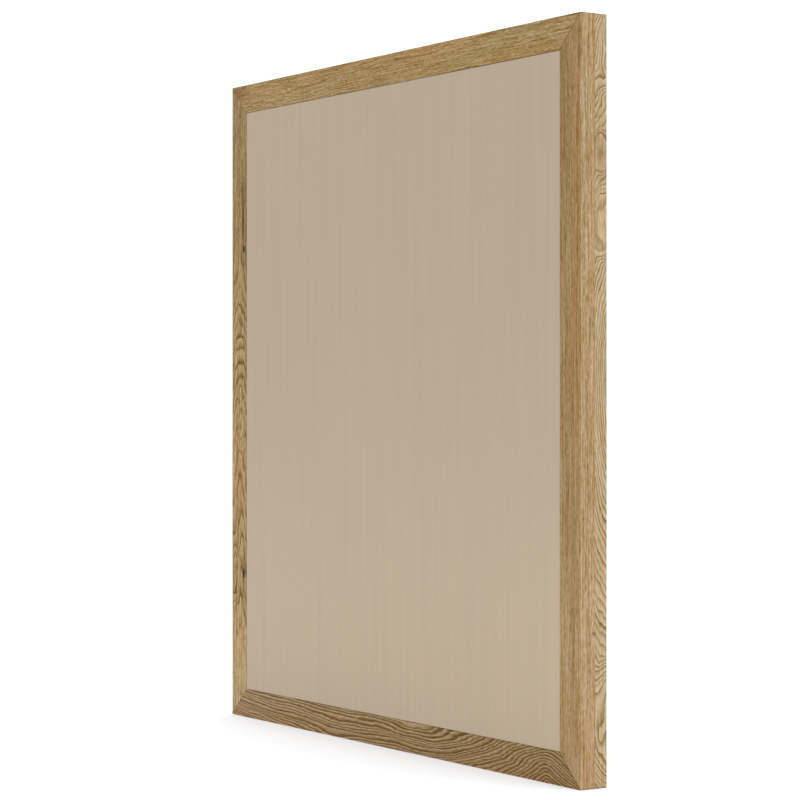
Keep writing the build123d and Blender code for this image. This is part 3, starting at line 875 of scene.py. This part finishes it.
class PINBOARD_OT_plywood(bpy.types.Operator):
    """Finish the birch plywood carrier"""

    bl_idname = "pin_board.plywood"
    bl_label = "Plywood carrier"

    def execute(self, context):
        look = context.scene.pin_board_panel
        # Birch plywood, sanded: pale satin veneer peeled round the log, so that its figure is
        # wide and soft. Its plies show as stripes on every sawn edge. Its pores and fibres are
        # drawn coarser than real, because they wouldn't show.
        peeled = Timber(
            heart=(480, -900, 60), ring=44.0, taper=0.7, line=0.22, wander=6.0,
            stray=(420, 90, 30), ripple=0.12, pores=0.22, fleck=0.05, seed=10.0,
            marks=(
                ((310, 610, 40), (9, 7, 9), 0.55), ((655, 395, 40), (7, 6, 9), 0.5),
                ((700, 790, 40), (8, 6, 9), 0.45),
            ),
        )
        birch = solid_wood(
            "birch_plywood_sanded", peeled, "left", tuple(look.plywood),
            wood_tints(context.scene), (6.0, 0.5, 70.0, 1.4, 0.04), 0.5,
        )
        self.show_plies(birch, look.ply)
        dress("plywood_carrier", birch)
        return {"FINISHED"}

    def show_plies(self, material, ply):
        """Darkens every other ply where the board is cut across them. A ply's own face isn't
        changed, because it looks along the depth."""
        tree = material.node_tree
        shader = next(n for n in tree.nodes if n.type == "BSDF_PRINCIPLED")
        colour = shader.inputs["Base Color"].links[0].from_socket
        low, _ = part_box("plywood_carrier")
        end_grain = linear("#8A6238")
        metres = add(tree, "ShaderNodeTexCoord").outputs["Object"]
        depth = add(tree, "ShaderNodeSeparateXYZ", {0: metres}).outputs["Y"]
        depth = add(tree, "ShaderNodeMath", {0: depth, 1: low.y}, operation="SUBTRACT")
        turn = add(tree, "ShaderNodeMath", {0: depth, 1: 2 * ply}, operation="DIVIDE")
        turn = add(tree, "ShaderNodeMath", {0: turn}, operation="FRACT")
        dark = add(tree, "ShaderNodeMath", {0: turn, 1: 0.5}, operation="GREATER_THAN")
        facing = add(tree, "ShaderNodeNewGeometry").outputs["Normal"]
        facing = add(tree, "ShaderNodeSeparateXYZ", {0: facing}).outputs["Y"]
        facing = add(tree, "ShaderNodeMath", {0: facing}, operation="ABSOLUTE")
        edge = add(tree, "ShaderNodeMath", {0: facing, 1: 0.5}, operation="LESS_THAN")
        share = add(tree, "ShaderNodeMath", {0: dark, 1: edge}, operation="MULTIPLY")
        share = add(tree, "ShaderNodeMath", {0: share, 1: 0.45}, operation="MULTIPLY")
        body = add(
            tree, "ShaderNodeMix", {0: share, 6: colour, 7: end_grain}, data_type="RGBA"
        )
        fill(tree, shader, {"Base Color": body})


class PINBOARD_OT_battens(bpy.types.Operator):
    """Finish the two spruce battens behind the carrier"""

    bl_idname = "pin_board.battens"
    bl_label = "Battens"

    def execute(self, context):
        look = context.scene.pin_board_panel
        tints = wood_tints(context.scene)
        # Spruce, planed: yellow-white, with close amber lines and pin knots. Its fibres are
        # drawn coarser than real, because they wouldn't show.
        for number, node in enumerate(("lower_batten", "upper_batten")):
            low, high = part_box(node)
            middle = (low + high) / 2 * MM
            knots = [
                ((200 + 160 * number, middle.z + 9, 43), (13, 8, 30), 0.5),
                ((610 - 210 * number, middle.z - 7, 43), (10, 7, 30), 0.45),
            ]
            sawn = Timber(
                heart=(0, middle.z - 46 + 30 * number, 95), ring=3.1, line=0.75, wander=2.6,
                stray=(260, 16, 16), pores=0.05, fleck=0.05, seed=11.0 + number,
                crotches=[(c, (r[0] * 7, r[1] * 3, 60), 1.6) for c, r, _ in knots],
                marks=knots,
            )
            spruce = solid_wood(
                f"spruce_planed_{node}", sawn, "bottom", tuple(look.spruce),
                [linear("#DDB98C"), *tints[1:]], (5.0, 0.4, 120.0, 1.0, 0.05), 0.58,
            )
            dress(node, spruce)
        return {"FINISHED"}


# ---------------------------------------------------------------- fittings


def plated_metal(name, colour, mark, shades, roughness, relief):
    """Bright plating over steel: one metal colour, clouded and dulled in patches."""
    material, tree, shader = new_material(name, Metallic=1.0)
    place = model_place_mm(tree)
    clouds = add(
        tree, "ShaderNodeMapRange",
        {"Value": speckle(tree, place, (mark,) * 3, 3.0), "From Min": 0.34, "From Max": 0.66},
    )
    grain = speckle(tree, place, (mark / 6,) * 3, 2.0)
    body = add(
        tree, "ShaderNodeMix",
        {0: clouds, 6: tinted(colour, shades[0]), 7: tinted(colour, shades[1])},
        data_type="RGBA",
    )
    both = add(tree, "ShaderNodeMath", {0: clouds, 1: grain}, operation="ADD")
    dull = add(
        tree, "ShaderNodeMapRange",
        {"Value": both, "From Min": 0.4, "From Max": 1.6, "To Min": roughness[0],
         "To Max": roughness[1]},
    )
    bump = add(
        tree, "ShaderNodeBump", {"Strength": 0.25, "Distance": relief / MM, "Height": grain}
    )
    fill(tree, shader, {"Base Color": body, "Roughness": dull, "Normal": bump})
    return material


class PINBOARD_OT_hanging_plates(bpy.types.Operator):
    """Finish the four corner plates that the board hangs from in clear zinc"""

    bl_idname = "pin_board.hanging_plates"
    bl_label = "Hanging plates"

    def execute(self, context):
        look = context.scene.pin_board_fittings
        # Mild steel, zinc-plated and clear-passivated: cool grey with a faint cloudy blue and
        # straw cast, half dull.
        plates = plated_metal(
            "steel_zinc_passivated", look.zinc, look.zinc_mark * MM,
            ((0.70, 0.73, 0.79), (1.06, 1.04, 0.99)), (0.26, 0.50), 0.03,
        )
        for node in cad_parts:
            if node.startswith("corner_plate_") and node not in SCREW_NODES:
                dress(node, plates)
        return {"FINISHED"}


class PINBOARD_OT_screws(bpy.types.Operator):
    """Finish every screw in yellow zinc"""

    bl_idname = "pin_board.screws"
    bl_label = "Screws"

    def execute(self, context):
        look = context.scene.pin_board_fittings
        # Screw steel, zinc-plated and yellow-passivated: pale gold, greener and redder in turn.
        # A screw is small, so its marks are a quarter of the plates'.
        screws = plated_metal(
            "steel_zinc_yellow_passivated", look.yellow_zinc, look.zinc_mark * MM / 4,
            ((0.86, 0.92, 0.80), (1.05, 0.96, 0.90)), (0.22, 0.38), 0.02,
        )
        for node in SCREW_NODES:
            dress(node, screws)
        return {"FINISHED"}


class PINBOARD_OT_turn_buttons(bpy.types.Operator):
    """Finish the ten turn buttons in tumbled nickel plate"""

    bl_idname = "pin_board.turn_buttons"
    bl_label = "Turn buttons"

    def execute(self, context):
        look = context.scene.pin_board_fittings
        # Steel, tumbled and nickel-plated: warmer and shinier than zinc, with tiny dents from
        # the barrel.
        nickel = plated_metal(
            "steel_nickel_tumbled", look.nickel, look.nickel_mark * MM,
            ((0.86, 0.84, 0.80), (1.03, 1.01, 0.98)), (0.20, 0.36), 0.03,
        )
        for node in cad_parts:
            if node.startswith("turn_button_") and node not in SCREW_NODES:
                dress(node, nickel)
        return {"FINISHED"}


class PINBOARD_OT_felt_bumpers(bpy.types.Operator):
    """Make the four felt bumpers that keep the frame off the wall"""

    bl_idname = "pin_board.felt_bumpers"
    bl_label = "Felt bumpers"

    around = 56        # points round a disc
    rim_steps = 5      # steps over its soft rim
    unevenness = 0.05  # how deep the lumps in its face go, as a share of its thickness
    lumps = 1500.0     # lumps for each metre of its face
    apart = 900.0      # how far on in the noise the next disc is, for each metre between them
    face_rings = (0.72, 0.5, 0.28)  # the rings of points over its face, as shares of its radius
    middle_up = 0.98   # how high the middle of its face is, as a share of its thickness

    def execute(self, context):
        look = context.scene.pin_board_fittings
        low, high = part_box("wall_bumpers")
        thick = high.y - low.y
        radius = 3 * thick  # a bumper is six times as wide as it is thick
        mesh = bpy.data.meshes.new("felt_bumpers")
        shape = bmesh.new()
        for x in (low.x + radius, high.x - radius):
            for z in (low.z + radius, high.z - radius):
                self.disc(shape, Vector((x, low.y, z)), radius, thick, look.felt_edge)
        shape.to_mesh(mesh)
        shape.free()
        mesh.materials.append(self.felt(look))
        for face in mesh.polygons:
            face.use_smooth = True
        piece = bpy.data.objects.new("felt_bumpers", mesh)
        context.scene.collection.objects.link(piece)
        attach(piece, BODY)
        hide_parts("wall_bumpers")
        return {"FINISHED"}

    def disc(self, shape, foot, radius, thick, edge):
        """One punched disc: flat where it is glued, a soft rim, and a slightly uneven face."""
        profile = [(radius, 0.0), (radius, thick - edge)]
        for i in range(1, self.rim_steps + 1):
            turn = math.pi / 2 * i / self.rim_steps
            profile.append(
                (radius - edge * (1 - math.cos(turn)), thick - edge * (1 - math.sin(turn)))
            )
        profile += [(radius * share, thick) for share in self.face_rings]
        rows = []
        for r, up in profile:
            row = []
            for i in range(self.around):
                turn = 2 * math.pi * i / self.around
                point = Vector((r * math.cos(turn), up, r * math.sin(turn)))
                # The fibres never stand past the punched size, so the lumps go inwards only.
                lump = noise.noise(point * self.lumps + foot * self.apart)
                sunk = (lump + 1) / 2 * thick * self.unevenness
                pull = 1 - sunk / radius if up else 1.0
                lift = max(up - sunk, 0.0)
                point = Vector((point.x * pull, lift, point.z * pull))
                row.append(shape.verts.new(foot + point))
            rows.append(row)
        middle = shape.verts.new(foot + Vector((0, thick * self.middle_up, 0)))
        for lower, upper in zip(rows, rows[1:]):
            for i in range(self.around):
                j = (i + 1) % self.around
                shape.faces.new((lower[i], lower[j], upper[j], upper[i]))
        for i in range(self.around):
            shape.faces.new((rows[-1][i], rows[-1][(i + 1) % self.around], middle))
        shape.faces.new(list(reversed(rows[0])))
        bmesh.ops.recalc_face_normals(shape, faces=shape.faces[:])

    def felt(self, look):
        """Wool felt, pressed and punched: dark grey, matt, with matted hairs on its face."""
        material, tree, shader = new_material(
            "felt_wool_pressed", **{"Roughness": 0.95, "Sheen Weight": 0.35}
        )
        place = model_place_mm(tree)
        size = look.felt_fibre * MM
        hairs = speckle(tree, place, (size, size, size * 2), 4.0, 2.0)
        body = add(
            tree, "ShaderNodeMix",
            {
                0: hairs, 6: tinted(look.felt, (0.55, 0.55, 0.55)),
                7: tinted(look.felt, (1.5, 1.5, 1.5)),
            },
            data_type="RGBA",
        )
        bump = add(
            tree, "ShaderNodeBump", {"Strength": 0.8, "Distance": 0.0002, "Height": hairs}
        )
        fill(tree, shader, {"Base Color": body, "Normal": bump})
        return material


# ---------------------------------------------------------------- stage


class PINBOARD_OT_stage(bpy.types.Operator):
    """Set the pale floor, the soft studio light and the camera"""

    bl_idname = "pin_board.stage"
    bl_label = "Stage"

    camera_turn = math.radians(56.26)  # round to the right from straight in front
    aim = (LOW + HIGH) / 2

    def execute(self, context):
        look = context.scene.pin_board_stage
        scene = context.scene
        scene.view_settings.view_transform = "Standard"
        self.floor(scene, look)
        self.surround(scene, look)
        for name, where, size, power in (
            ("side_light", (2.75, 1.85, 0.9), (2.2, 2.2), look.side_power),
            ("top_light", (0.1, -0.15, 3.8), (3.0, 3.0), look.top_power),
            ("low_light", (0.0, -0.32, 0.06), (2.4, 0.10), look.low_power),
        ):
            self.light(scene, name, Vector(where), size, power)
        self.camera(scene, look)
        return {"FINISHED"}

    def floor(self, scene, look):
        """A wide matt sweep at the height that the board stands on."""
        reach = look.floor_reach
        mesh = bpy.data.meshes.new("floor")
        corners = [(-reach, -reach), (reach, -reach), (reach, reach), (-reach, reach)]
        mesh.from_pydata([(x, y, LOW.z) for x, y in corners], [], [(0, 1, 2, 3)])
        # Painted studio board, matt: no sheen, only a breath of tone.
        material, tree, shader = new_material(
            "painted_board_matt", **{"Roughness": 0.9, "Specular IOR Level": 0.1}
        )
        place = model_place_mm(tree)
        tone = add(
            tree, "ShaderNodeMapRange",
            {"Value": speckle(tree, place, (400, 400, 400)), "To Min": 0.0, "To Max": 0.04},
        )
        body = add(
            tree, "ShaderNodeMix", {0: tone, 6: tuple(look.floor), 7: linear("#EAEEF2")},
            data_type="RGBA",
        )
        fill(tree, shader, {"Base Color": body})
        mesh.materials.append(material)
        floor = bpy.data.objects.new("floor", mesh)
        scene.collection.objects.link(floor)

    def surround(self, scene, look):
        """An even white room."""
        world = bpy.data.worlds.new("white_room")
        world.use_nodes = True
        world.node_tree.nodes["Background"].inputs["Color"].default_value = (1, 1, 1, 1)
        world.node_tree.nodes["Background"].inputs["Strength"].default_value = look.surround
        scene.world = world

    def light(self, scene, name, where, size, power):
        """A soft panel of light, aimed at the board's middle."""
        lamp = bpy.data.lights.new(name, "AREA")
        lamp.shape, lamp.size, lamp.size_y = "RECTANGLE", *size
        lamp.energy = power
        holder = bpy.data.objects.new(name, lamp)
        holder.location = where
        holder.rotation_mode = "QUATERNION"
        holder.rotation_quaternion = (self.aim - where).to_track_quat("-Z", "Y")
        holder.visible_camera = False
        scene.collection.objects.link(holder)

    def camera(self, scene, look):
        """Level with the board's middle and well round to its right."""
        lens = bpy.data.cameras.new("camera")
        lens.lens, lens.sensor_width = look.lens, 36.0
        # A shift of about a thousandth of the frame, for where the board sits in it.
        lens.shift_x, lens.shift_y = -0.0005, 0.0013
        lens.clip_start, lens.clip_end = 0.05, 100.0
        ahead = Vector((-math.sin(self.camera_turn), math.cos(self.camera_turn), 0.0))
        holder = bpy.data.objects.new("camera", lens)
        holder.location = self.aim - ahead * look.distance
        holder.rotation_mode = "QUATERNION"
        holder.rotation_quaternion = ahead.to_track_quat("-Z", "Y")
        scene.collection.objects.link(holder)
        scene.camera = holder


# ---------------------------------------------------------------- running it

STEPS = (
    PINBOARD_OT_oak,
    PINBOARD_OT_tenons,
    PINBOARD_OT_pin_surface,
    PINBOARD_OT_jute,
    PINBOARD_OT_core,
    PINBOARD_OT_plywood,
    PINBOARD_OT_battens,
    PINBOARD_OT_hanging_plates,
    PINBOARD_OT_screws,
    PINBOARD_OT_turn_buttons,
    PINBOARD_OT_felt_bumpers,
    PINBOARD_OT_stage,
)


class PINBOARD_PT_sidebar(bpy.types.Panel):
    """The board's settings and the steps that use them"""

    bl_idname = "PINBOARD_PT_sidebar"
    bl_label = "Cork Pin Board"
    bl_space_type = "VIEW_3D"
    bl_region_type = "UI"
    bl_category = "Pin Board"

    def draw(self, context):
        for step in STEPS:
            self.layout.operator(step.bl_idname)
        for name, group in SETTINGS.items():
            box = self.layout.box()
            for setting in group.__annotations__:
                box.prop(getattr(context.scene, name), setting)


CLASSES = (*SETTINGS.values(), *STEPS, PINBOARD_PT_sidebar)


def register():
    for item in CLASSES:
        bpy.utils.register_class(item)
    for name, group in SETTINGS.items():
        setattr(bpy.types.Scene, name, bpy.props.PointerProperty(type=group))


def unregister():
    for name in SETTINGS:
        delattr(bpy.types.Scene, name)
    for item in reversed(CLASSES):
        bpy.utils.unregister_class(item)


def main():
    register()
    for step in STEPS:
        group, name = step.bl_idname.split(".")
        getattr(getattr(bpy.ops, group), name)()


if __name__ == "__main__":
    main()
